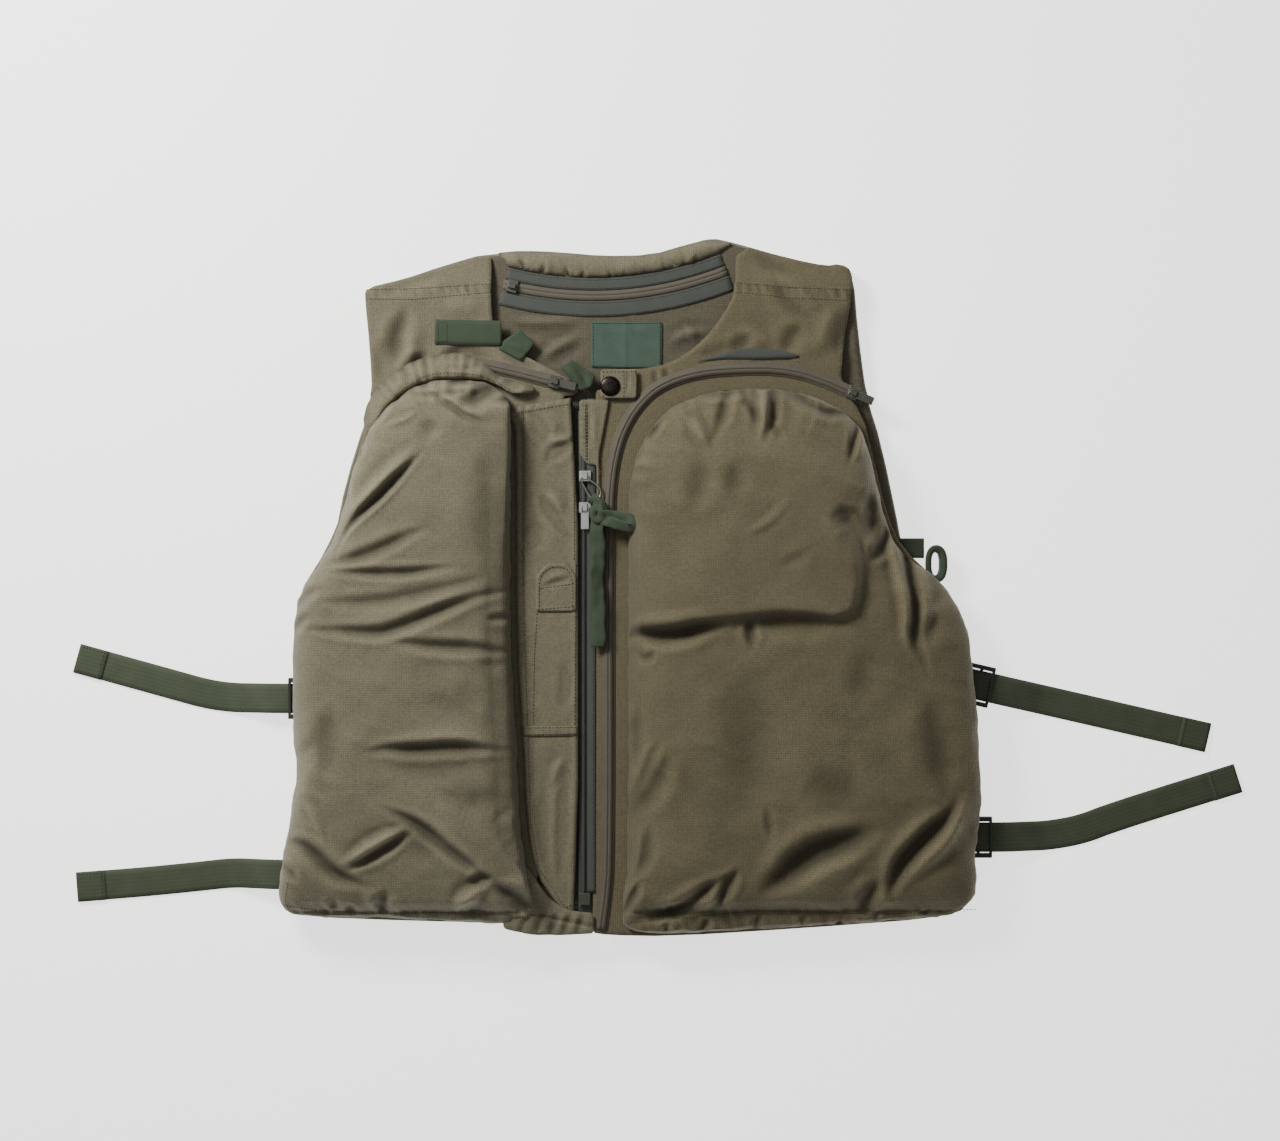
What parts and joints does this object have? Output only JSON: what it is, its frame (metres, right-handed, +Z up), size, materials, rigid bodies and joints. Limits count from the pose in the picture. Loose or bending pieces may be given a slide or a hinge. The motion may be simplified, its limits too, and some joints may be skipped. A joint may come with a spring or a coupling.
{
  "type": "fishing vest",
  "caption": "Padded cotton fishing vest lying on its back: hinged fronts with foam pockets, centre zip, snap tab, web side straps in ladder-lock buckles.",
  "frame": {"origin": "on the flat underside of the back shell, on the vest's centre line, midway between shoulders and hem", "axes": "+X across the vest towards the wearer's left side, +Y towards the shoulders, +Z up out of the front; the vest lies on its back"},
  "size_m": [0.975, 0.5825, 0.059],
  "materials": {
    "cotton": "khaki-olive cotton poplin",
    "cotton_lining": "khaki-olive cotton, plain",
    "foam": "closed-cell foam",
    "webbing": "dark green woven web",
    "zip_tape": "grey-green woven tape",
    "zip_coil": "taupe nylon coil",
    "slider_metal": "plated die-cast metal",
    "snap_metal": "dark brown oxidised brass",
    "buckle_plastic": "moulded black-green plastic",
    "label_cloth": "green satin label, blank"
  },
  "bodies": {
    "root": {"back_shell": "cotton", "back_foam": "foam", "back_lining": "cotton_lining", "left_shoulder_yoke": "cotton", "right_shoulder_yoke": "cotton", "size_label": "label_cloth", "collar_band": "cotton_lining", "collar_zip_upper_tape": "zip_tape", "collar_zip_chain": "zip_coil", "collar_zip_lower_tape": "zip_tape", "left_upper_buckle": "buckle_plastic", "left_lower_buckle": "buckle_plastic", "right_upper_buckle": "buckle_plastic", "right_lower_buckle": "buckle_plastic", "left_upper_buckle_loop": "webbing", "left_lower_buckle_loop": "webbing", "right_upper_buckle_loop": "webbing", "right_lower_buckle_loop": "webbing", "armhole_web_tab": "webbing", "armhole_web_loop": "webbing"},
    "collar_slider": {"collar_zip_slider": "slider_metal"},
    "left_front": {"left_front_panel": "cotton", "left_pad_cover": "cotton", "left_upper_foam": "foam", "left_lower_foam": "foam", "left_pocket_zip_tape": "zip_tape", "left_pocket_zip_chain": "zip_coil", "placket_panel": "cotton", "pen_pocket": "cotton", "placket_band": "cotton", "main_zip_left_tape": "zip_tape", "main_zip_left_coil": "zip_coil", "neck_tape_loop": "webbing"},
    "left_pocket_slider": {"left_pocket_zip_slider": "slider_metal"},
    "left_pocket_pull": {"left_pocket_zip_pull": "slider_metal"},
    "chest_tab": {"chest_tab": "webbing"},
    "right_front": {"right_front_panel": "cotton", "right_pad_cover": "cotton", "right_upper_foam": "foam", "right_lower_foam": "foam", "right_pocket_zip_tape": "zip_tape", "right_pocket_zip_chain": "zip_coil", "main_zip_right_tape": "zip_tape", "main_zip_right_coil": "zip_coil", "main_zip_retainer_box": "slider_metal", "snap_stud": "snap_metal"},
    "right_pocket_slider": {"right_pocket_zip_slider": "slider_metal"},
    "right_pocket_pull": {"right_pocket_zip_pull": "slider_metal"},
    "upper_slider": {"upper_slider": "slider_metal"},
    "lower_slider": {"lower_slider": "slider_metal"},
    "upper_pull": {"pull_ring": "slider_metal", "pull_ribbon": "webbing"},
    "lower_pull": {"lower_pull": "slider_metal"},
    "snap_tab": {"snap_tab": "cotton", "snap_cap": "snap_metal", "snap_socket": "snap_metal"},
    "left_upper_strap": {"left_upper_strap": "webbing"},
    "left_lower_strap": {"left_lower_strap": "webbing"},
    "right_upper_strap": {"right_upper_strap": "webbing"},
    "right_lower_strap": {"right_lower_strap": "webbing"}
  },
  "joints": [
    {"name": "left_front_lift", "type": "hinge", "parent": "root", "child": "left_front", "pos_m": [-0.159, 0.2468, 0.0215], "axis": [-1, 0, 0], "range_deg": [0, 150]},
    {"name": "right_front_lift", "type": "hinge", "parent": "root", "child": "right_front", "pos_m": [0.143, 0.2468, 0.0215], "axis": [-1, 0, 0], "range_deg": [0, 150]},
    {"name": "upper_slider_travel", "type": "slide", "parent": "right_front", "child": "upper_slider", "axis": [0, 1, 0], "range_m": [-0.15, 0]},
    {"name": "lower_slider_travel", "type": "slide", "parent": "upper_slider", "child": "lower_slider", "axis": [0, 1, 0], "range_m": [-0.155, 0]},
    {"name": "upper_pull_turn", "type": "hinge", "parent": "upper_slider", "child": "upper_pull", "pos_m": [-0.029, 0.094, 0.0264], "axis": [-1, 0, 0], "range_deg": [0, 90]},
    {"name": "lower_pull_turn", "type": "hinge", "parent": "lower_slider", "child": "lower_pull", "pos_m": [-0.029, 0.068, 0.0264], "axis": [-1, 0, 0], "range_deg": [0, 140]},
    {"name": "snap_tab_lift", "type": "hinge", "parent": "right_front", "child": "snap_tab", "pos_m": [0.014, 0.168, 0.027], "axis": [0, 1, 0], "range_deg": [0, 120]},
    {"name": "chest_tab_lift", "type": "hinge", "parent": "left_front", "child": "chest_tab", "pos_m": [-0.153, 0.213, 0.0232], "axis": [0, -1, 0], "range_deg": [0, 110]},
    {"name": "left_pocket_slider_travel", "type": "slide", "parent": "left_front", "child": "left_pocket_slider", "axis": [-0.9694, 0.2457, 0], "range_m": [0, 0.04]},
    {"name": "left_pocket_pull_turn", "type": "hinge", "parent": "left_pocket_slider", "child": "left_pocket_pull", "pos_m": [-0.054, 0.17162, 0.0282], "axis": [-0.2457, -0.9694, 0], "range_deg": [0, 140]},
    {"name": "right_pocket_slider_travel", "type": "slide", "parent": "right_front", "child": "right_pocket_slider", "axis": [-0.9131, 0.4076, 0], "range_m": [0, 0.02]},
    {"name": "right_pocket_pull_turn", "type": "hinge", "parent": "right_pocket_slider", "child": "right_pocket_pull", "pos_m": [0.192, 0.16246, 0.0282], "axis": [-0.4076, -0.9131, 0], "range_deg": [0, 140]},
    {"name": "collar_slider_travel", "type": "hinge", "parent": "root", "child": "collar_slider", "pos_m": [-0.022, 0.544, 0.0154], "axis": [0, 0, 1], "range_deg": [0, 32]},
    {"name": "left_upper_strap_slide", "type": "slide", "parent": "root", "child": "left_upper_strap", "axis": [-1, 0, 0], "range_m": [-0.01, 0.05]},
    {"name": "left_lower_strap_slide", "type": "slide", "parent": "root", "child": "left_lower_strap", "axis": [-1, 0, 0], "range_m": [-0.01, 0.05]},
    {"name": "right_upper_strap_slide", "type": "slide", "parent": "root", "child": "right_upper_strap", "axis": [0.9743, -0.2251, 0], "range_m": [-0.01, 0.05]},
    {"name": "right_lower_strap_slide", "type": "slide", "parent": "root", "child": "right_lower_strap", "axis": [1, 0, 0], "range_m": [-0.01, 0.05]}
  ]
}
